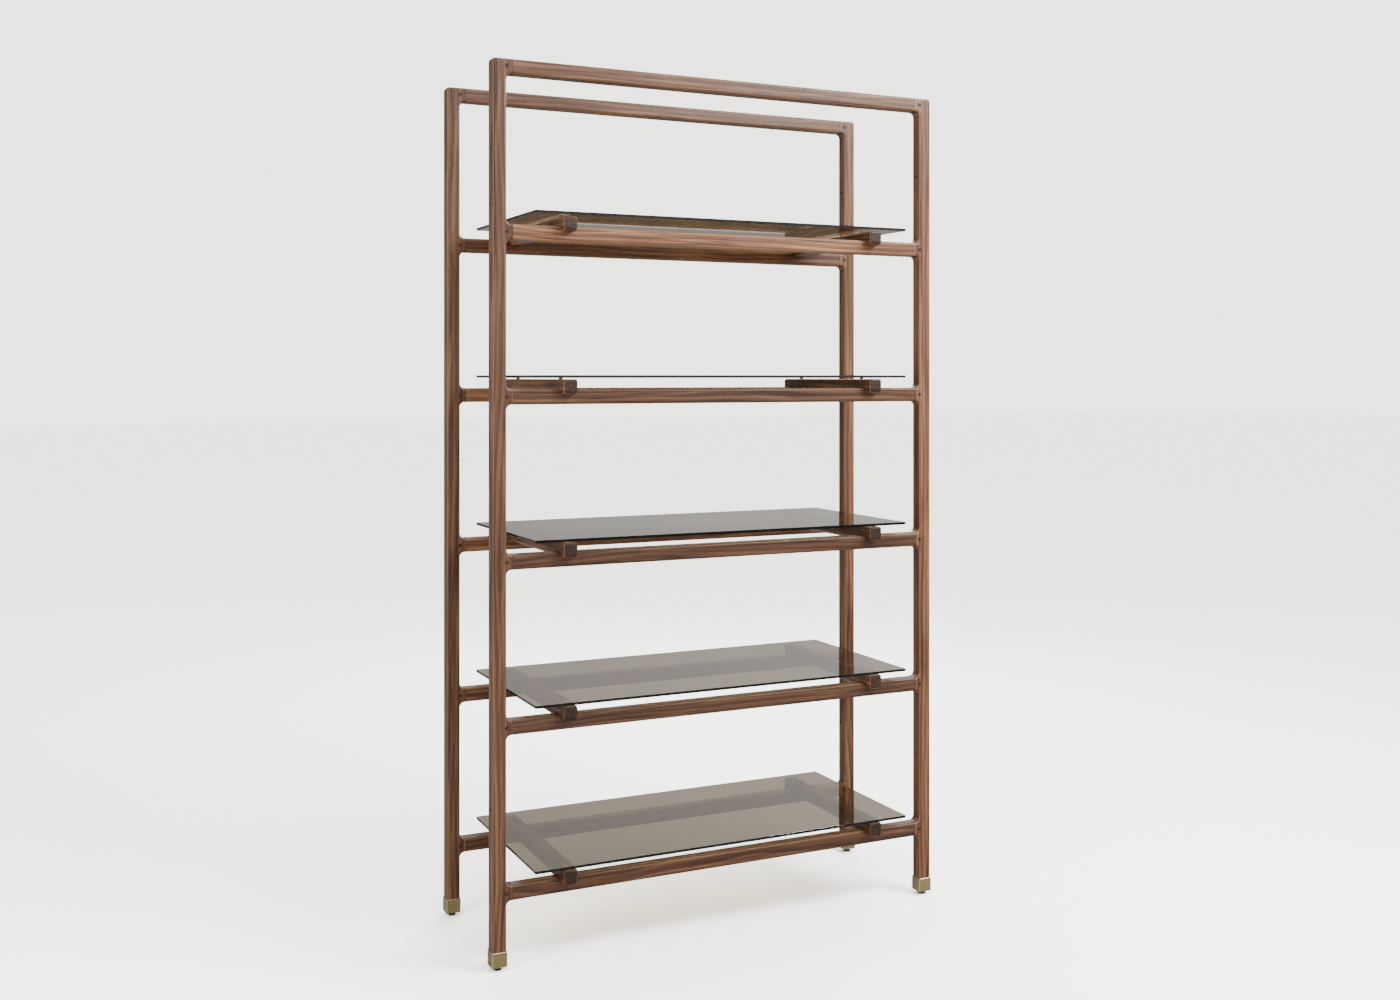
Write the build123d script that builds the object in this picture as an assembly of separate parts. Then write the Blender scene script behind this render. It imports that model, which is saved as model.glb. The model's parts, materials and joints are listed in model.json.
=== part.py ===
from build123d import *

import os

# Free-standing open display shelf unit: two timber ladder frames, joined by cross
# bars that hook over the rails and carry loose glass shelves.
# Millimetres. +X right, +Y to the rear, +Z up. The origin is on the floor, in the
# middle of the width and the depth.

# Overall sizes
HEIGHT = 2000.0
WIDTH = 1144.0
FRAME_DEPTH = 396.0

# Timber sections
SECTION = 33.0
RAIL_HEIGHT = 34.0
EDGE_RADIUS = 6.0
TOP_CORNER_RADIUS = 7.5

# Ladder frames
SHELF_COUNT = 5
LOWEST_RAIL_TOP = 185.0
LUG_LENGTH = 14.0
LUG_FILLET = 12.0

# Stub tenons and the pegs that lock them
TENON_THICKNESS = 12.0
TENON_HEIGHT = 22.0
TENON_LENGTH = 30.0
TENON_GAP = 0.1
TENON_END_GAP = 1.0
PEG_DIAMETER = 9.0
PEG_LENGTH = 26.0
PEG_GAP = 0.05
PEG_CHAMFER = 0.4

# Cross bars
BAR_WIDTH = 33.0
BAR_HEIGHT = 36.0
BAR_NOTCH_DEPTH = 14.0
BAR_NOTCH_GAP = 0.1
BAR_OVERHANG = 21.5
BAR_INSET = 174.5
BAR_TOP_RADIUS = 6.0
BAR_BOTTOM_RADIUS = 11.0
BAR_END_RADIUS = 4.5

# Screws that hold the cross bars down on the rails
SCREW_DIAMETER = 6.0
SCREW_HEAD_DIAMETER = 10.0
SCREW_HEAD_HEIGHT = 6.0
SCREW_SOCKET_WIDTH = 5.0
SCREW_SOCKET_DEPTH = 3.0
SCREW_HOLE_GAP = 0.3
SCREW_HEAD_GAP = 0.75
COUNTERBORE_DEPTH = 8.0
SCREW_ENGAGEMENT = 10.0
BAR_INSERT_WALL = 1.95
BAR_INSERT_LENGTH = 12.0
BAR_INSERT_RELIEF = 2.0
THREAD_GAP = 0.05

# Glass shelves and bumpers
GLASS_THICKNESS = 6.0
GLASS_SIDE_MARGIN = 90.0
GLASS_OVERHANG = 26.0
GLASS_CORNER_RADIUS = 3.0
GLASS_ARRIS = 0.5
BUMPER_DIAMETER = 8.5
BUMPER_HEIGHT = 3.0
BUMPER_INSET = 46.0
BUMPER_ROUNDING = 0.8

# Linking holes through the stiles
LINK_HOLE_DIAMETER = 7.0
LINK_HOLE_RISE = 168.0

# Feet
FERRULE_FLOOR_CLEARANCE = 9.0
FERRULE_HEIGHT = 33.0
FERRULE_WALL = 1.4
FERRULE_GAP = 0.1
FERRULE_BASE = 3.0
FERRULE_CORNER_RADIUS = 4.0
FERRULE_CHAMFER = 0.6
FERRULE_HOLE_GAP = 0.5
STUD_DIAMETER = 8.0
STUD_INSERT_WALL = 1.45
STUD_INSERT_LENGTH = 18.0
STUD_REACH = 29.0
STUD_BORE_RELIEF = 3.0
STUD_HEX_MARGIN = 2.5
STUD_HEX_GAP = 0.2
STUD_HEAD_MARGIN = 1.5
STUD_HEAD_HEIGHT = 2.1
PAD_DIAMETER = 18.0
PAD_HEIGHT = 6.0
PAD_BASE = 2.6
PAD_LIP = 1.0
PAD_RADIAL_GAP = 0.3
PAD_EDGE_RADIUS = 1.6
PAD_TOP_RADIUS = 0.6

# Derived diameters
SCREW_HOLE = SCREW_DIAMETER + 2 * SCREW_HOLE_GAP
SCREW_BORE = SCREW_DIAMETER + 2 * THREAD_GAP
COUNTERBORE = SCREW_HEAD_DIAMETER + 2 * SCREW_HEAD_GAP
BAR_INSERT_DIAMETER = SCREW_BORE + 2 * BAR_INSERT_WALL
STUD_HOLE = STUD_DIAMETER + 2 * FERRULE_HOLE_GAP
STUD_BORE = STUD_DIAMETER + 2 * THREAD_GAP
STUD_INSERT_DIAMETER = STUD_BORE + 2 * STUD_INSERT_WALL
STUD_HEX_WIDTH = STUD_DIAMETER + 2 * STUD_HEX_MARGIN
STUD_HEAD_DIAMETER = STUD_DIAMETER + 2 * STUD_HEAD_MARGIN
PEG_HOLE = PEG_DIAMETER + 2 * PEG_GAP
PAD_SOCKET = STUD_HEAD_DIAMETER + 2 * PAD_RADIAL_GAP
PAD_NECK = STUD_DIAMETER + 2 * PAD_RADIAL_GAP

# Derived levels and positions
TOLERANCE = 1e-3
CUT_THROUGH = 1.0
RAIL_COUNT = SHELF_COUNT + 1
RAIL_PITCH = (HEIGHT - LOWEST_RAIL_TOP) / SHELF_COUNT
RAIL_TOPS = [LOWEST_RAIL_TOP + level * RAIL_PITCH for level in range(RAIL_COUNT)]
STILE_X = (WIDTH - SECTION) / 2
FRAME_Y = (FRAME_DEPTH - SECTION) / 2
STILE_FOOT = FERRULE_FLOOR_CLEARANCE + FERRULE_BASE
STILE_INNER = STILE_X - SECTION / 2
LUG_END = STILE_INNER - LUG_LENGTH
BAR_X = WIDTH / 2 - BAR_INSET
BAR_LENGTH = FRAME_DEPTH + 2 * BAR_OVERHANG
BAR_RISE = BAR_HEIGHT - BAR_NOTCH_DEPTH
GLASS_UNDERSIDE = BAR_RISE + BUMPER_HEIGHT
BUMPER_Y = FRAME_DEPTH / 2 - BUMPER_INSET
LINK_LEVELS = [RAIL_TOPS[0] + LINK_HOLE_RISE, RAIL_TOPS[-2] + LINK_HOLE_RISE]
SIDES = {"left": -1, "right": 1}
FRAMES = {"front": -1, "rear": 1}


def block(x_span, y_span, z_span):
    """A box that fills three (low, high) spans."""
    spans = (x_span, y_span, z_span)
    centre = [(low + high) / 2 for low, high in spans]
    size = [high - low for low, high in spans]
    return Pos(*centre) * Box(*size)


def centred(middle, size):
    """The (low, high) span of a size about its middle."""
    return (middle - size / 2, middle + size / 2)


def rod_x(diameter, y, z, x_span):
    """A round bar along X."""
    length = x_span[1] - x_span[0]
    bar = Cylinder(diameter / 2, length, rotation=(0, 90, 0))
    return Pos(sum(x_span) / 2, y, z) * bar


def rod_y(diameter, x, z, y_span):
    """A round bar along Y."""
    length = y_span[1] - y_span[0]
    bar = Cylinder(diameter / 2, length, rotation=(90, 0, 0))
    return Pos(x, sum(y_span) / 2, z) * bar


def rod_z(diameter, x, y, z_span):
    """A round bar along Z."""
    length = z_span[1] - z_span[0]
    return Pos(x, y, sum(z_span) / 2) * Cylinder(diameter / 2, length)


def near(first, second):
    return abs(first - second) < TOLERANCE


def save(node, shapes):
    """Write one node, as a single solid or as a group of separate solids."""
    solids = [solid for shape in shapes for solid in shape.solids()]
    model = solids[0] if len(solids) == 1 else Compound(children=solids)
    model.label = node
    export_step(model, os.path.join("parts", node + ".step"))


def peg_span(frame_y):
    """The Y span of a peg: flush with the front face of its joint."""
    face = frame_y - SECTION / 2
    return (face, face + PEG_LENGTH)


def stile_outline():
    """Front view of the right-hand stile: inner edge, lugs and filleted corners."""
    points = [(STILE_X + SECTION / 2, STILE_FOOT), (STILE_INNER, STILE_FOOT)]
    inner_corners = []
    for top in RAIL_TOPS:
        bottom = top - RAIL_HEIGHT
        points += [(STILE_INNER, bottom), (LUG_END, bottom), (LUG_END, top)]
        inner_corners.append((STILE_INNER, bottom))
        if not near(top, HEIGHT):
            points.append((STILE_INNER, top))
            inner_corners.append((STILE_INNER, top))
    outer_corner = (STILE_X + SECTION / 2, HEIGHT)
    points.append(outer_corner)
    face = make_face(Polyline(points, close=True))

    def at(corners):
        return [
            vertex
            for vertex in face.vertices()
            if any(near(vertex.X, x) and near(vertex.Y, z) for x, z in corners)
        ]

    face = fillet(at(inner_corners), LUG_FILLET)
    return fillet(at([outer_corner]), TOP_CORNER_RADIUS)


def is_rounded_stile_edge(edge):
    """True for the outline edges, apart from the foot and the ends of the lugs."""
    if not near(abs(edge.center().Y), SECTION / 2):
        return False
    at_foot = all(near(vertex.Z, STILE_FOOT) for vertex in edge.vertices())
    at_lug_end = all(near(vertex.X, LUG_END) for vertex in edge.vertices())
    return not (at_foot or at_lug_end)


def right_stile():
    """The right-hand stile of a frame whose middle plane is Y = 0."""
    body = extrude(Plane.XZ * stile_outline(), SECTION / 2, both=True)
    body = fillet(body.edges().filter_by(is_rounded_stile_edge), EDGE_RADIUS)
    mortise_end = LUG_END + TENON_LENGTH + TENON_END_GAP
    for top in RAIL_TOPS:
        middle = top - RAIL_HEIGHT / 2
        body -= block(
            (LUG_END - CUT_THROUGH, mortise_end),
            centred(0, TENON_THICKNESS + 2 * TENON_GAP),
            centred(middle, TENON_HEIGHT + 2 * TENON_GAP),
        )
        low, high = peg_span(0)
        peg_hole = (low - CUT_THROUGH, high)
        body -= rod_y(PEG_HOLE, STILE_INNER, middle, peg_hole)
    for level in LINK_LEVELS:
        body -= rod_x(LINK_HOLE_DIAMETER, 0, level, centred(STILE_X, SECTION + 2 * CUT_THROUGH))
    insert_top = STILE_FOOT + STUD_INSERT_LENGTH
    bore_top = STILE_FOOT + STUD_REACH + STUD_BORE_RELIEF
    body -= rod_z(STUD_INSERT_DIAMETER, STILE_X, 0, (STILE_FOOT - CUT_THROUGH, insert_top))
    body -= rod_z(STUD_HOLE, STILE_X, 0, (STILE_FOOT, bore_top))
    return body


def rail(carries_bars):
    """A rail whose top is Z = 0 and whose middle plane is Y = 0, with its tenons."""
    body = block(
        centred(0, 2 * LUG_END),
        centred(0, SECTION),
        (-RAIL_HEIGHT, 0),
    )
    body = fillet(body.edges().filter_by(Axis.X), EDGE_RADIUS)
    tenon_end = LUG_END + TENON_LENGTH
    middle = -RAIL_HEIGHT / 2
    tenons = block(
        centred(0, 2 * tenon_end),
        centred(0, TENON_THICKNESS),
        centred(middle, TENON_HEIGHT),
    )
    body += tenons
    for side in SIDES.values():
        low, high = peg_span(0)
        peg_hole = (low - CUT_THROUGH, high)
        body -= rod_y(PEG_HOLE, side * STILE_INNER, middle, peg_hole)
        if carries_bars:
            x = side * BAR_X
            seat = -RAIL_HEIGHT + COUNTERBORE_DEPTH
            body -= rod_z(SCREW_HOLE, x, 0, (seat - CUT_THROUGH, CUT_THROUGH))
            body -= rod_z(COUNTERBORE, x, 0, (-RAIL_HEIGHT - CUT_THROUGH, seat))
    return body


def bar_side_view():
    """Side view of a cross bar: square above, rounded below at both ends."""
    outline = Pos(0, BAR_RISE - BAR_HEIGHT / 2) * Rectangle(BAR_LENGTH, BAR_HEIGHT)
    lower_corners = outline.vertices().group_by(Axis.Y)[0]
    return fillet(lower_corners, BAR_BOTTOM_RADIUS)


def cross_bar():
    """A cross bar in the plane X = 0, with the rail tops at Z = 0."""
    body = block(
        centred(0, BAR_WIDTH),
        centred(0, BAR_LENGTH),
        (-BAR_NOTCH_DEPTH, BAR_RISE),
    )
    body = fillet(body.edges().filter_by(Axis.Y).group_by(Axis.Z)[0], BAR_BOTTOM_RADIUS)
    body = fillet(body.edges().filter_by(Axis.Y).group_by(Axis.Z)[-1], BAR_TOP_RADIUS)
    body &= extrude(Plane.YZ * bar_side_view(), BAR_WIDTH, both=True)
    end_zone = BAR_LENGTH / 2 - BAR_BOTTOM_RADIUS - TOLERANCE
    end_edges = [edge for edge in body.edges() if abs(edge.center().Y) > end_zone]
    body = fillet(end_edges, BAR_END_RADIUS)
    insert_hole_top = BAR_INSERT_LENGTH + BAR_INSERT_RELIEF
    for frame in FRAMES.values():
        y = frame * FRAME_Y
        body -= block(
            centred(0, BAR_WIDTH + 2 * CUT_THROUGH),
            centred(y, SECTION + 2 * BAR_NOTCH_GAP),
            (-BAR_NOTCH_DEPTH - CUT_THROUGH, 0),
        )
        body -= rod_z(BAR_INSERT_DIAMETER, 0, y, (-CUT_THROUGH, insert_hole_top))
    return body


def screw():
    """A socket cap screw under a rail whose top is Z = 0."""
    seat = -RAIL_HEIGHT + COUNTERBORE_DEPTH
    body = rod_z(SCREW_DIAMETER, 0, 0, (seat, SCREW_ENGAGEMENT))
    body += rod_z(SCREW_HEAD_DIAMETER, 0, 0, (seat - SCREW_HEAD_HEIGHT, seat))
    socket = extrude(RegularPolygon(SCREW_SOCKET_WIDTH / 2, 6, major_radius=False), SCREW_SOCKET_DEPTH)
    return body - Pos(0, 0, seat - SCREW_HEAD_HEIGHT) * socket


def bar_insert():
    """A threaded insert in a cross bar, flush with the rail top at Z = 0."""
    body = rod_z(BAR_INSERT_DIAMETER, 0, 0, (0, BAR_INSERT_LENGTH))
    return body - rod_z(SCREW_BORE, 0, 0, (-CUT_THROUGH, BAR_INSERT_LENGTH + CUT_THROUGH))


def bumper():
    """A low clear dome with a flat top, on a bar whose top is Z = 0."""
    body = rod_z(BUMPER_DIAMETER, 0, 0, (0, BUMPER_HEIGHT))
    return fillet(body.edges().sort_by(Axis.Z)[-1], BUMPER_ROUNDING)


def glass_shelf():
    """A glass shelf with its underside at Z = 0."""
    width = WIDTH - 2 * GLASS_SIDE_MARGIN
    depth = FRAME_DEPTH + 2 * GLASS_OVERHANG
    body = block(centred(0, width), centred(0, depth), (0, GLASS_THICKNESS))
    body = fillet(body.edges().filter_by(Axis.Z), GLASS_CORNER_RADIUS)
    faces = body.faces().sort_by(Axis.Z)
    return chamfer(faces[0].edges() + faces[-1].edges(), GLASS_ARRIS)


def ferrule():
    """The square cup on the foot of a stile whose centre line is X = Y = 0."""
    inner = SECTION + 2 * FERRULE_GAP
    outer = inner + 2 * FERRULE_WALL
    bottom = FERRULE_FLOOR_CLEARANCE
    top = bottom + FERRULE_HEIGHT
    body = block(centred(0, outer), centred(0, outer), (bottom, top))
    body = fillet(body.edges().filter_by(Axis.Z), FERRULE_CORNER_RADIUS)
    faces = body.faces().sort_by(Axis.Z)
    body = chamfer(faces[0].edges() + faces[-1].edges(), FERRULE_CHAMFER)
    cavity = block(centred(0, inner), centred(0, inner), (bottom + FERRULE_BASE, top + CUT_THROUGH))
    cavity = fillet(cavity.edges().filter_by(Axis.Z), EDGE_RADIUS + FERRULE_GAP)
    body -= cavity
    return body - rod_z(STUD_HOLE, 0, 0, (bottom - CUT_THROUGH, top))


def stud_insert():
    """The threaded insert in the end of a stile."""
    body = rod_z(STUD_INSERT_DIAMETER, 0, 0, (STILE_FOOT, STILE_FOOT + STUD_INSERT_LENGTH))
    return body - rod_z(STUD_BORE, 0, 0, (0, STILE_FOOT + STUD_INSERT_LENGTH + CUT_THROUGH))


def glide_stud():
    """The threaded stud of a glide: a round head, a spanner hexagon and the thread."""
    head_top = PAD_BASE + STUD_HEAD_HEIGHT
    hex_span = (PAD_HEIGHT + STUD_HEX_GAP, FERRULE_FLOOR_CLEARANCE - STUD_HEX_GAP)
    hexagon = RegularPolygon(STUD_HEX_WIDTH / 2, 6, major_radius=False)
    body = rod_z(STUD_HEAD_DIAMETER, 0, 0, (PAD_BASE, head_top))
    body += rod_z(STUD_DIAMETER, 0, 0, (PAD_BASE, STILE_FOOT + STUD_REACH))
    return body + Pos(0, 0, hex_span[0]) * extrude(hexagon, hex_span[1] - hex_span[0])


def glide_pad():
    """The round foot of a glide, snapped over the head of its stud."""
    body = rod_z(PAD_DIAMETER, 0, 0, (0, PAD_HEIGHT))
    rims = body.edges().filter_by(GeomType.CIRCLE).sort_by(Axis.Z)
    body = fillet(rims[0], PAD_EDGE_RADIUS)
    rims = body.edges().filter_by(GeomType.CIRCLE).sort_by(Axis.Z)
    body = fillet(rims[-1], PAD_TOP_RADIUS)
    body -= rod_z(PAD_SOCKET, 0, 0, (PAD_BASE, PAD_HEIGHT - PAD_LIP))
    return body - rod_z(PAD_NECK, 0, 0, (PAD_BASE, PAD_HEIGHT + CUT_THROUGH))


def peg():
    """A peg along Y in the frame whose middle plane is Y = 0."""
    low, high = peg_span(0)
    body = rod_y(PEG_DIAMETER, 0, 0, (low, high))
    return chamfer(body.edges().filter_by(GeomType.CIRCLE), PEG_CHAMFER)


def save_frames():
    """The stiles, rails and pegs of the two ladder frames."""
    stiles = {"right": right_stile()}
    stiles["left"] = mirror(stiles["right"], Plane.YZ)
    plain_rail = rail(carries_bars=False)
    bar_rail = rail(carries_bars=True)
    for frame, frame_side in FRAMES.items():
        y = frame_side * FRAME_Y
        pegs = []
        for side, side_sign in SIDES.items():
            save(f"stile_{frame}_{side}", [Pos(0, y, 0) * stiles[side]])
            for top in RAIL_TOPS:
                pegs.append(Pos(side_sign * STILE_INNER, y, top - RAIL_HEIGHT / 2) * peg())
        for level, top in enumerate(RAIL_TOPS, start=1):
            body = bar_rail if level <= SHELF_COUNT else plain_rail
            save(f"rail_{frame}_{level}", [Pos(0, y, top) * body])
        save(f"joint_pegs_{frame}", pegs)


def save_shelves():
    """The cross bars, their screws and inserts, the bumpers and the glass shelves."""
    bar = cross_bar()
    glass = glass_shelf()
    screws = []
    inserts = []
    for level, top in enumerate(RAIL_TOPS[:SHELF_COUNT], start=1):
        bumpers = []
        for side, side_sign in SIDES.items():
            x = side_sign * BAR_X
            save(f"cross_bar_{side}_{level}", [Pos(x, 0, top) * bar])
            for frame_side in FRAMES.values():
                screws.append(Pos(x, frame_side * FRAME_Y, top) * screw())
                inserts.append(Pos(x, frame_side * FRAME_Y, top) * bar_insert())
                bumpers.append(Pos(x, frame_side * BUMPER_Y, top + BAR_RISE) * bumper())
        save(f"bumpers_{level}", bumpers)
        save(f"glass_shelf_{level}", [Pos(0, 0, top + GLASS_UNDERSIDE) * glass])
    save("bar_screws", screws)
    save("bar_inserts", inserts)


def save_feet():
    """The ferrules, inserts, studs and pads under the four stiles."""
    inserts = []
    for frame, frame_side in FRAMES.items():
        for side, side_sign in SIDES.items():
            place = Pos(side_sign * STILE_X, frame_side * FRAME_Y, 0)
            save(f"ferrule_{frame}_{side}", [place * ferrule()])
            save(f"glide_stud_{frame}_{side}", [place * glide_stud()])
            save(f"glide_pad_{frame}_{side}", [place * glide_pad()])
            inserts.append(place * stud_insert())
    save("stud_inserts", inserts)


os.makedirs("parts", exist_ok=True)
save_frames()
save_shelves()
save_feet()
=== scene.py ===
import json
import math
import random

import bpy
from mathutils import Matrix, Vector


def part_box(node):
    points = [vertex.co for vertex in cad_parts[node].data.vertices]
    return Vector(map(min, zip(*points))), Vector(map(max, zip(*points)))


# Looks of a free-standing display shelf unit: walnut ladder frames, tinted glass
# shelves, brushed brass ferrules and black levelling glides. Metres, +Z up.

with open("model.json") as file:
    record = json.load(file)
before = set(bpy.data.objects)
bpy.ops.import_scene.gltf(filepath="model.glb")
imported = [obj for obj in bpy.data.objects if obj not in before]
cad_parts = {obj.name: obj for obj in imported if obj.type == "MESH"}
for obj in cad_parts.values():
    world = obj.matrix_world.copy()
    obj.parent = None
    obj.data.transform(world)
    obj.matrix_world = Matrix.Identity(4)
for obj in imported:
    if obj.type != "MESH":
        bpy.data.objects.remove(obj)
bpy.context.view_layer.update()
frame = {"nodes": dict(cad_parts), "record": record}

SEED = 41

# Camera, in the shared frame
CAMERA_PLACE = Vector((-1.5310, -3.2688, 1.3010))
CAMERA_YAW = math.radians(25.435)
CAMERA_LENS = 37.55
CAMERA_SENSOR = 36.0
CAMERA_SHIFT_Y = -0.0879

# Stage
FLOOR_HALF = 40.0
FLOOR_TONE = 0.32
FLOOR_MOTTLE = 0.006
FLOOR_SEEN_TONE = 2.7
WORLD_SEEN_STRENGTH = 3.3
WORLD_DIM = 0.30
WORLD_BRIGHT = 1.40
WORLD_WARMTH = (1.0, 0.975, 0.94)
LIGHT_SIDE = (0.55, -0.40, 0.62)
LIGHT_TURN = (-0.7, 0.9)

# Name, place, target, width and height, watts
LIGHTS = (
    ("key", (1.8, -2.0, 3.2), (0.2, 0.0, 1.7), (1.5, 1.2), 118.0),
    ("edge", (-3.0, -1.2, 1.5), (0.0, 0.0, 1.0), (1.0, 2.6), 48.0),
    ("back", (1.8, 3.2, 3.0), (0.0, 0.0, 1.5), (2.4, 1.2), 70.0),
)

# Walnut, linear colours
WALNUT_DARK = (0.015, 0.0054, 0.0024)
WALNUT_BROWN = (0.064, 0.0235, 0.0114)
WALNUT_TAN = (0.152, 0.0635, 0.0304)
WALNUT_LIGHT = (0.308, 0.1570, 0.0790)
WALNUT_STOPS = (
    (0.34, WALNUT_DARK),
    (0.48, WALNUT_BROWN),
    (0.62, WALNUT_TAN),
    (0.80, WALNUT_LIGHT),
)
SEAM_COLOUR = (0.02, 0.011, 0.008, 1.0)

# Walnut figure: scales per metre across the grain, and each layer's share
RING_SCALE = 26.0
STREAK_SCALE = 62.0
FIBRE_SCALE = 1100.0
PORE_SCALE = 2100.0
STREAK_SHARE = 0.70
RING_SHARE = 0.18
BROAD_SHARE = 0.30
FIGURE_SPREAD = 0.06
GRAIN_SHIFT = 9.0
PITH_DISTANCE = (0.05, 0.12)
RING_BEND = (0.055, 0.055, 0.055)
PORE_DEPTH = 0.55
SEAM_SPAN = (0.0002, 0.0009)
SEAM_DEPTH = 0.75

# How squarely a normal lies along an axis, where an edge ends and end grain begins
EDGE_FACING = (0.78, 0.97)
END_GRAIN_FACING = (0.60, 0.85)
END_GRAIN_SHADE = 0.18

# Painted light and shade: boards brightened or darkened for how the light falls on them (the
# upper right stile and upper rails lighter, the left stiles and lower front rails darker); the
# rest are near 1
BOARD_LIGHT_AND_SHADE = {
    "stile_front_left": 0.78,
    "stile_front_right": 1.42,
    "stile_rear_left": 0.72,
    "stile_rear_right": 1.05,
    "rail_front_5": 1.60,
    "rail_front_6": 1.15,
    "rail_rear_6": 1.15,
    "rail_front_4": 0.96,
    "rail_front_3": 0.62,
    "rail_front_2": 0.58,
    "rail_front_1": 0.72,
    "rail_rear_1": 0.88,
}
BOARD_TONE_SPREAD = (0.95, 1.05)

# Pegs, brass and glass, linear colours
PEG_STOPS = (
    (0.34, (0.024, 0.009, 0.006)),
    (0.55, (0.050, 0.020, 0.012)),
    (0.75, (0.092, 0.042, 0.024)),
)
BRASS_STOPS = (
    (0.30, (0.44, 0.35, 0.155)),
    (0.52, (0.56, 0.455, 0.225)),
    (0.74, (0.67, 0.57, 0.31)),
)
BRASS_SCUFF = (0.34, 0.27, 0.13, 1.0)
# Painted highlight colour for the rounded corners of the ferrules
BRASS_CORNER_HIGHLIGHT = (0.93, 0.84, 0.60, 1.0)
GLASS_STOPS = ((0.2, (0.93, 0.89, 0.80)), (0.8, (0.96, 0.92, 0.84)))
GLASS_SHADOW = (0.62, 0.60, 0.55, 1.0)
GLASS_DEPTH = (0.49, 0.38, 0.12, 1.0)
GLASS_DENSITY = 150.0
GLASS_IOR = 1.52

# Material name, darker and lighter tone, roughness
METALS = {
    "insert_brass": ("insert_metal", (0.40, 0.29, 0.12), (0.68, 0.55, 0.28), 0.34),
    "zinc_steel": ("screw_metal", (0.36, 0.37, 0.38), (0.60, 0.61, 0.63), 0.32),
    "black_steel": ("stud_metal", (0.012, 0.012, 0.013), (0.05, 0.05, 0.052), 0.40),
}

# Where the lugs of the stiles end and the rails begin
SEAM_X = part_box("stile_front_right")[0].x
AXIS_INDEX = {"X": 0, "Y": 1, "Z": 2}


class Graph:
    """A node material under construction."""

    def __init__(self, name):
        self.material = bpy.data.materials.new(name)
        self.material.use_nodes = True
        self.tree = self.material.node_tree
        self.tree.nodes.clear()
        self.output = self.tree.nodes.new("ShaderNodeOutputMaterial")

    def node(self, kind, inputs=(), **settings):
        made = self.tree.nodes.new(kind)
        for key, value in settings.items():
            setattr(made, key, value)
        for key, value in dict(inputs).items():
            socket = made.inputs[key]
            if isinstance(value, bpy.types.NodeSocket):
                self.tree.links.new(value, socket)
            else:
                socket.default_value = value
        return made

    def math(self, operation, first, second=0.0):
        values = {0: first, 1: second}
        return self.node("ShaderNodeMath", values, operation=operation).outputs[0]

    def blend(self, factor, first, second, mode="MIX"):
        values = {0: factor, 6: first, 7: second}
        made = self.node("ShaderNodeMix", values, data_type="RGBA", blend_type=mode)
        return made.outputs[2]

    def noise(self, vector, scale, detail=3.0, roughness=0.5, distortion=0.0):
        values = {
            "Vector": vector,
            "Scale": scale,
            "Detail": detail,
            "Roughness": roughness,
            "Distortion": distortion,
        }
        return self.node("ShaderNodeTexNoise", values).outputs["Fac"]

    def span(self, value, low, high, new_low=0.0, new_high=1.0):
        """Maps low..high to new_low..new_high, clamped and smooth."""
        values = {
            "Value": value,
            "From Min": low,
            "From Max": high,
            "To Min": new_low,
            "To Max": new_high,
        }
        made = self.node("ShaderNodeMapRange", values, interpolation_type="SMOOTHSTEP")
        return made.outputs["Result"]

    def ramp(self, value, stops):
        made = self.node("ShaderNodeValToRGB", {"Fac": value})
        elements = made.color_ramp.elements
        while len(elements) < len(stops):
            elements.new(0.5)
        for element, (place, colour) in zip(elements, stops):
            element.position = place
            element.color = (*colour, 1.0)
        return made.outputs["Color"]

    def place(self):
        return self.node("ShaderNodeTexCoord").outputs["Object"]

    def stretch(self, vector, location, scale):
        values = {"Vector": vector, "Location": location, "Scale": scale}
        return self.node("ShaderNodeMapping", values).outputs["Vector"]

    def bump(self, height, strength, distance):
        values = {"Strength": strength, "Distance": distance, "Height": height}
        return self.node("ShaderNodeBump", values).outputs["Normal"]

    def normal_parts(self):
        """The X, Y and Z of the surface normal, in the piece's own frame."""
        normal = self.node("ShaderNodeTexCoord").outputs["Normal"]
        return self.node("ShaderNodeSeparateXYZ", {0: normal}).outputs

    def edges(self):
        """1 on rounded edges, 0 on faces square to the axes."""
        parts = self.normal_parts()
        x, y, z = (self.math("ABSOLUTE", parts[axis]) for axis in "XYZ")
        largest = self.math("MAXIMUM", self.math("MAXIMUM", x, y), z)
        return self.span(largest, *EDGE_FACING, 1.0, 0.0)

    def surface(self, shader):
        self.tree.links.new(shader, self.output.inputs["Surface"])

    def principled(self, inputs):
        self.surface(self.node("ShaderNodeBsdfPrincipled", inputs).outputs["BSDF"])


def grain_scale(axis, across, along):
    scale = [across, across, across]
    scale[AXIS_INDEX[axis]] = along
    return tuple(scale)


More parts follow.
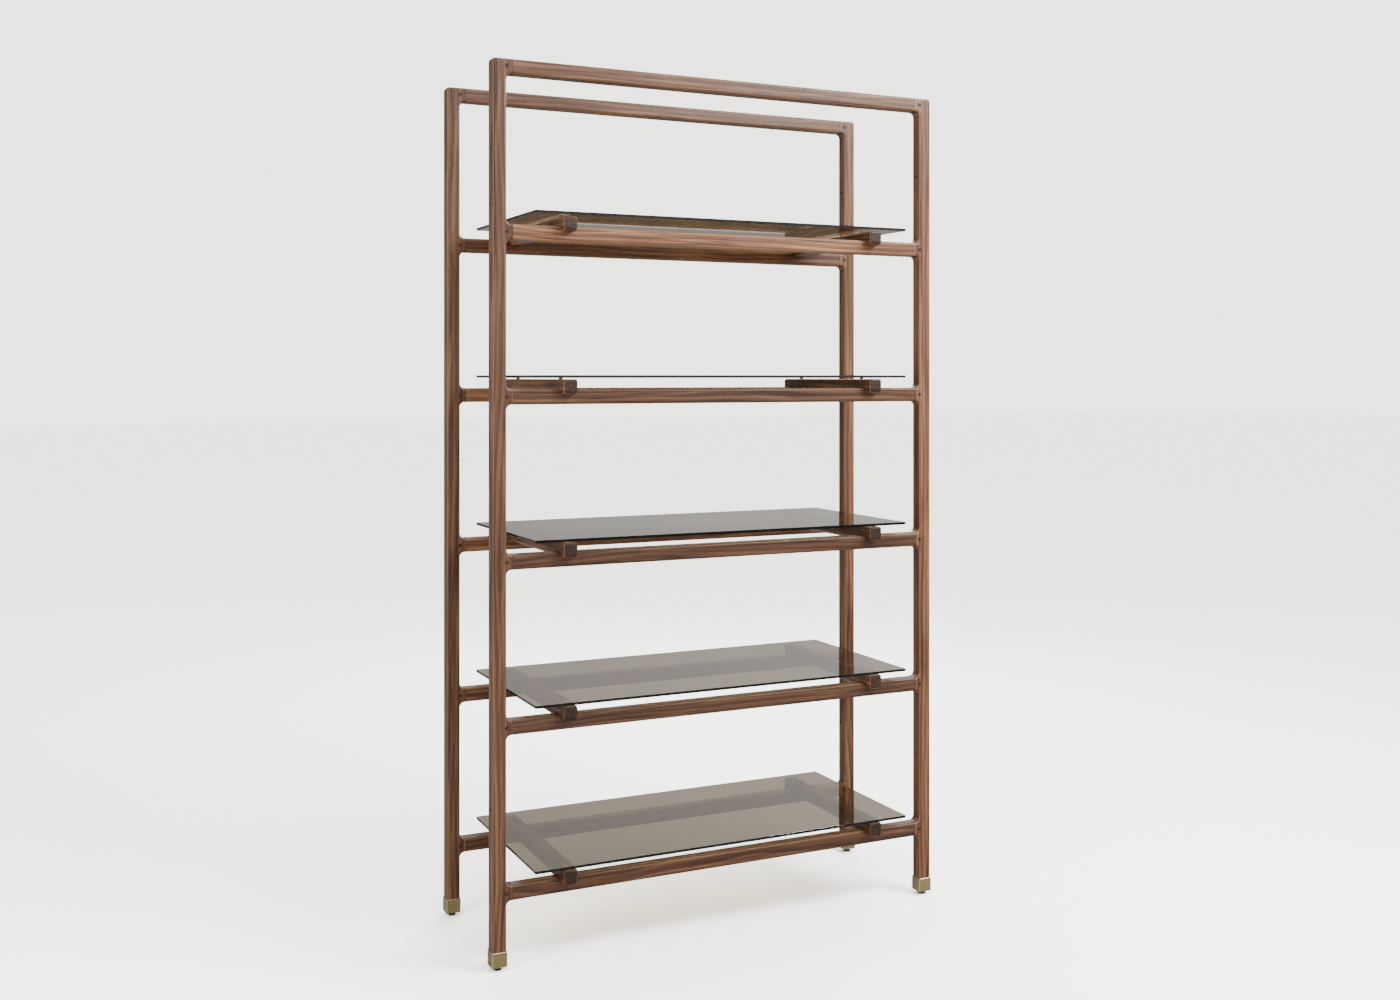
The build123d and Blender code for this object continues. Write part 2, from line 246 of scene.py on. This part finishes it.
def walnut(name, axis, rng, tone=1.0):
    """Oiled walnut with its grain along one axis of the shared frame."""
    g = Graph(name)
    place = g.place()
    offset = tuple(rng.uniform(-GRAIN_SHIFT, GRAIN_SHIFT) for _ in range(3))

    def layer(across, along):
        return g.stretch(place, offset, grain_scale(axis, across, along))

    broad = g.noise(layer(9.0, 1.1), 1.0, detail=2.0)
    streaks = g.noise(layer(STREAK_SCALE, 3.0), 1.0, detail=5.0, roughness=0.58, distortion=0.85)
    pith = [rng.choice((-1, 1)) * rng.uniform(*PITH_DISTANCE) for _ in range(3)]
    pith[AXIS_INDEX[axis]] = 0.0
    bend = g.stretch(place, offset, grain_scale(axis, 5.0, 1.6))
    warp = g.node("ShaderNodeTexNoise", {"Vector": bend, "Scale": 1.0, "Detail": 2.0})
    warped = g.node(
        "ShaderNodeVectorMath",
        {0: warp.outputs["Color"], 1: RING_BEND},
        operation="MULTIPLY",
    )
    local = g.stretch(place, tuple(pith), grain_scale(axis, 1.0, 0.02))
    moved = g.node("ShaderNodeVectorMath", {0: local, 1: warped.outputs[0]}, operation="ADD")
    rings = g.node(
        "ShaderNodeTexWave",
        {
            "Vector": moved.outputs[0],
            "Scale": RING_SCALE,
            "Distortion": 2.2,
            "Detail": 3.0,
            "Detail Scale": 1.4,
        },
        wave_type="RINGS",
        rings_direction=axis,
        wave_profile="SAW",
    ).outputs["Fac"]
    fibres = g.noise(layer(FIBRE_SCALE, 16.0), 1.0, detail=3.0, roughness=0.6)
    pores = g.noise(layer(PORE_SCALE, 95.0), 1.0, detail=1.0)

    streak_part = g.math("MULTIPLY", streaks, STREAK_SHARE)
    figure = g.math("ADD", streak_part, g.math("MULTIPLY", rings, RING_SHARE))
    figure = g.math("ADD", figure, g.math("MULTIPLY", broad, BROAD_SHARE))
    figure = g.math("ADD", figure, rng.uniform(-FIGURE_SPREAD, FIGURE_SPREAD))
    # The tone scales every colour of the board, so it carries the board's painted light and
    # shade as well as its own random tone
    toned = [(at, tuple(c * tone for c in shade)) for at, shade in WALNUT_STOPS]
    colour = g.ramp(figure, toned)
    fibre_shade = g.span(fibres, 0.34, 0.66, 0.80, 1.10)
    fibre_colour = g.node(
        "ShaderNodeCombineColor", {0: fibre_shade, 1: fibre_shade, 2: fibre_shade}
    ).outputs[0]
    colour = g.blend(1.0, colour, fibre_colour, "MULTIPLY")
    pore_mask = g.span(pores, 0.63, 0.70)
    colour = g.blend(g.math("MULTIPLY", pore_mask, PORE_DEPTH), colour, (*WALNUT_DARK, 1.0))
    # Painted highlight: the rounded edges are lightened, patchy with the broad figure, to stand
    # in for the sheen along them; the same mask lowers the roughness there
    painted_edge_sheen = g.math("MULTIPLY", g.edges(), g.span(broad, 0.35, 0.60, 0.30, 0.60))
    colour = g.blend(painted_edge_sheen, colour, (*(c * tone for c in WALNUT_LIGHT), 1.0))
    x = g.node("ShaderNodeSeparateXYZ", {0: place}).outputs["X"]
    from_seam = g.math("ABSOLUTE", g.math("SUBTRACT", g.math("ABSOLUTE", x), SEAM_X))
    seam = g.span(from_seam, *SEAM_SPAN, SEAM_DEPTH, 0.0)
    colour = g.blend(seam, colour, SEAM_COLOUR)
    along_grain = g.math("ABSOLUTE", g.normal_parts()[axis])
    end_mask = g.span(along_grain, *END_GRAIN_FACING)
    end_mask = g.math("MULTIPLY", end_mask, 1.0 - END_GRAIN_SHADE)
    colour = g.blend(end_mask, colour, (*WALNUT_DARK, 1.0))

    roughness = g.span(fibres, 0.3, 0.7, 0.54, 0.40)
    roughness = g.math("SUBTRACT", roughness, g.math("MULTIPLY", painted_edge_sheen, 0.14))
    height = g.math("SUBTRACT", g.math("MULTIPLY", fibres, 0.5), pore_mask)
    height = g.math("SUBTRACT", height, g.math("MULTIPLY", seam, 1.5))
    g.principled(
        {
            "Base Color": colour,
            "Roughness": roughness,
            "Specular IOR Level": 0.36,
            "Coat Weight": 0.24,
            "Coat Roughness": 0.24,
            "Normal": g.bump(height, 0.35, 0.00025),
        }
    )
    return g.material


def end_grain(name, rng):
    """Dark oiled end grain, for the pegs."""
    g = Graph(name)
    place = g.stretch(g.place(), (rng.uniform(-3, 3), 0.0, rng.uniform(-3, 3)), (1.0, 0.15, 1.0))
    specks = g.noise(place, 1500.0, detail=4.0, roughness=0.7)
    tone = g.noise(place, 160.0, detail=2.0)
    mixed = g.math("ADD", g.math("MULTIPLY", specks, 0.6), g.math("MULTIPLY", tone, 0.4))
    g.principled(
        {
            "Base Color": g.ramp(mixed, PEG_STOPS),
            "Roughness": g.span(specks, 0.3, 0.7, 0.62, 0.50),
            "Specular IOR Level": 0.35,
            "Normal": g.bump(specks, 0.3, 0.0002),
        }
    )
    return g.material


def brushed_brass(name):
    """Satin brass, brushed round the square cups."""
    g = Graph(name)
    place = g.place()
    stretched = g.stretch(place, (0, 0, 0), (40.0, 40.0, 4200.0))
    lines = g.noise(stretched, 1.0, detail=3.0, roughness=0.7)
    cloud = g.noise(place, 70.0, detail=3.0)
    scuffs = g.span(g.noise(place, 420.0, detail=5.0, roughness=0.75), 0.60, 0.74)
    mixed = g.math("ADD", g.math("MULTIPLY", lines, 0.5), g.math("MULTIPLY", cloud, 0.5))
    colour = g.ramp(mixed, BRASS_STOPS)
    colour = g.blend(g.math("MULTIPLY", scuffs, 0.25), colour, BRASS_SCUFF)
    edges = g.edges()
    # Painted highlight: the rounded corners of the ferrules are brightened towards a pale brass
    colour = g.blend(g.math("MULTIPLY", edges, 0.85), colour, BRASS_CORNER_HIGHLIGHT)
    roughness = g.span(lines, 0.3, 0.7, 0.15, 0.25)
    roughness = g.math("ADD", roughness, g.math("MULTIPLY", scuffs, 0.10))
    roughness = g.math("ADD", roughness, g.math("MULTIPLY", edges, 0.10))
    g.principled(
        {
            "Base Color": colour,
            "Metallic": 1.0,
            "Roughness": roughness,
            "Anisotropic": 0.45,
            "Normal": g.bump(lines, 0.12, 0.00003),
        }
    )
    return g.material


def machined_metal(name, low, high, roughness):
    """Turned or plated metal for screws, inserts and studs."""
    g = Graph(name)
    place = g.place()
    rings = g.noise(g.stretch(place, (0, 0, 0), (60.0, 60.0, 3000.0)), 1.0, detail=2.0)
    spots = g.noise(place, 500.0, detail=4.0, roughness=0.7)
    mixed = g.math("ADD", g.math("MULTIPLY", rings, 0.5), g.math("MULTIPLY", spots, 0.5))
    g.principled(
        {
            "Base Color": g.ramp(mixed, [(0.32, low), (0.70, high)]),
            "Metallic": 1.0,
            "Roughness": g.span(spots, 0.3, 0.7, roughness - 0.07, roughness + 0.08),
            "Normal": g.bump(rings, 0.3, 0.00008),
        }
    )
    return g.material


def black_plastic(name):
    """Moulded matt plastic with a fine texture and lighter scuffs scattered over it."""
    g = Graph(name)
    place = g.place()
    grain = g.noise(place, 2600.0, detail=2.0)
    scuffs = g.span(g.noise(place, 300.0, detail=4.0, roughness=0.7), 0.58, 0.75)
    colour = g.blend(scuffs, (0.010, 0.010, 0.011, 1.0), (0.040, 0.038, 0.036, 1.0))
    g.principled(
        {
            "Base Color": colour,
            "Roughness": g.span(grain, 0.3, 0.7, 0.48, 0.62),
            "Specular IOR Level": 0.45,
            "Normal": g.bump(grain, 0.35, 0.0001),
        }
    )
    return g.material


def bumper_rubber(name):
    """Soft clear-grey bumpers under the glass."""
    g = Graph(name)
    place = g.place()
    cloud = g.noise(place, 400.0, detail=3.0)
    g.principled(
        {
            "Base Color": g.ramp(cloud, [(0.3, (0.30, 0.29, 0.27)), (0.7, (0.46, 0.45, 0.42))]),
            "Roughness": g.span(cloud, 0.3, 0.7, 0.30, 0.45),
            "Transmission Weight": 0.45,
            "IOR": 1.45,
            "Normal": g.bump(cloud, 0.2, 0.0001),
        }
    )
    return g.material


def tinted_glass(name):
    """Bronze-grey float glass: the tint is in its depth, so its edges are near black."""
    g = Graph(name)
    place = g.place()
    waves = g.noise(place, 2.2, detail=1.0)
    smears = g.noise(place, 9.0, detail=4.0, roughness=0.6)
    glass = g.node(
        "ShaderNodeBsdfPrincipled",
        {
            "Base Color": g.ramp(smears, GLASS_STOPS),
            "Roughness": g.span(smears, 0.45, 0.75, 0.0, 0.012),
            "Transmission Weight": 1.0,
            "IOR": GLASS_IOR,
            "Normal": g.bump(waves, 0.04, 0.002),
        },
    )
    clear = g.node("ShaderNodeBsdfTransparent", {"Color": GLASS_SHADOW})
    shadow = g.node("ShaderNodeLightPath").outputs["Is Shadow Ray"]
    mixed = g.node("ShaderNodeMixShader", {0: shadow, 1: glass.outputs[0], 2: clear.outputs[0]})
    g.surface(mixed.outputs[0])
    tint = {"Color": GLASS_DEPTH, "Density": GLASS_DENSITY}
    depth = g.node("ShaderNodeVolumeAbsorption", tint)
    g.tree.links.new(depth.outputs[0], g.output.inputs["Volume"])
    return g.material


def floor_paint(name):
    """Pale studio floor: near white to the eye, a plain pale grey to the light it bounces."""
    g = Graph(name)
    cloud = g.noise(g.place(), 0.8, detail=3.0)
    grey = g.ramp(cloud, [(0.3, (FLOOR_TONE - FLOOR_MOTTLE,) * 3), (0.7, (FLOOR_TONE,) * 3)])
    bounce = g.node("ShaderNodeBsdfDiffuse", {"Color": grey})
    seen = g.node("ShaderNodeBsdfDiffuse", {"Color": (*(FLOOR_SEEN_TONE,) * 3, 1.0)})
    eye = g.node("ShaderNodeLightPath").outputs["Is Camera Ray"]
    mixed = g.node("ShaderNodeMixShader", {0: eye, 1: bounce.outputs[0], 2: seen.outputs[0]})
    g.surface(mixed.outputs[0])
    return g.material


def put(node, material):
    """Gives a CAD node one material."""
    mesh = frame["nodes"][node].data
    mesh.materials.clear()
    mesh.materials.append(material)


def dress():
    """Gives each walnut board its own material, and any other node the one of its slot."""
    rng = random.Random(SEED)
    slots = {row["node"]: row["material_slot"] for row in frame["record"]["subparts"]}
    shared = {
        "dark_peg": end_grain("peg_end_grain", rng),
        "brushed_brass": brushed_brass("ferrule_brass"),
        **{slot: machined_metal(*metal) for slot, metal in METALS.items()},
        "black_plastic": black_plastic("glide_plastic"),
        "bumper": bumper_rubber("bumper_rubber"),
        "tinted_glass": tinted_glass("shelf_glass"),
    }
    grain = {"walnut_stile": "Z", "walnut_rail": "X", "walnut_bar": "Y"}
    for node in sorted(frame["nodes"]):
        slot = slots[node]
        if slot in grain:
            # A random board tone, times the board's painted light and shade from the table above
            tone = rng.uniform(*BOARD_TONE_SPREAD) * BOARD_LIGHT_AND_SHADE.get(node, 1.0)
            put(node, walnut("walnut_" + node, grain[slot], rng, tone))
        else:
            put(node, shared[slot])


def area_light(name, place, target, size, watts):
    light = bpy.data.lights.new(name, "AREA")
    light.shape = "RECTANGLE"
    light.size, light.size_y = size
    light.energy = watts
    lamp = bpy.data.objects.new(name, light)
    lamp.location = place
    lamp.rotation_euler = (Vector(target) - Vector(place)).to_track_quat("-Z", "Y").to_euler()
    bpy.context.scene.collection.objects.link(lamp)


def make_stage():
    corners = [(-1, -1), (1, -1), (1, 1), (-1, 1)]
    mesh = bpy.data.meshes.new("studio_floor")
    points = [(x * FLOOR_HALF, y * FLOOR_HALF, 0.0) for x, y in corners]
    mesh.from_pydata(points, [], [(0, 1, 2, 3)])
    floor = bpy.data.objects.new("studio_floor", mesh)
    mesh.materials.append(floor_paint("floor_paint"))
    bpy.context.scene.collection.objects.link(floor)

    make_world()
    for light in LIGHTS:
        area_light(*light)


def make_world():
    """A pale backdrop, which lights the unit more from the right, the front and above."""
    world = bpy.data.worlds.new("studio")
    world.use_nodes = True
    tree = world.node_tree
    background = tree.nodes["Background"]
    background.inputs["Color"].default_value = (*WORLD_WARMTH, 1.0)

    def add(kind, **settings):
        node = tree.nodes.new(kind)
        for key, value in settings.items():
            setattr(node, key, value)
        return node

    side = add("ShaderNodeVectorMath", operation="DOT_PRODUCT")
    side.inputs[1].default_value = Vector(LIGHT_SIDE).normalized()
    tree.links.new(add("ShaderNodeTexCoord").outputs["Generated"], side.inputs[0])
    ease = add("ShaderNodeMapRange", interpolation_type="SMOOTHSTEP")
    values = (*LIGHT_TURN, WORLD_DIM, WORLD_BRIGHT)
    for key, value in zip(("From Min", "From Max", "To Min", "To Max"), values):
        ease.inputs[key].default_value = value
    tree.links.new(side.outputs["Value"], ease.inputs["Value"])
    seen = add("ShaderNodeMix", data_type="FLOAT")
    tree.links.new(add("ShaderNodeLightPath").outputs["Is Camera Ray"], seen.inputs[0])
    tree.links.new(ease.outputs["Result"], seen.inputs[2])
    seen.inputs[3].default_value = WORLD_SEEN_STRENGTH
    tree.links.new(seen.outputs[0], background.inputs["Strength"])
    bpy.context.scene.world = world


def make_camera():
    camera = bpy.data.cameras.new("camera")
    camera.sensor_fit = "HORIZONTAL"
    camera.sensor_width = CAMERA_SENSOR
    camera.lens = CAMERA_LENS
    camera.shift_y = CAMERA_SHIFT_Y
    camera.clip_end = 100.0
    viewer = bpy.data.objects.new("camera", camera)
    viewer.location = CAMERA_PLACE
    viewer.rotation_euler = (math.radians(90.0), 0.0, -CAMERA_YAW)
    bpy.context.scene.collection.objects.link(viewer)
    bpy.context.scene.camera = viewer


make_camera()
make_stage()
dress()
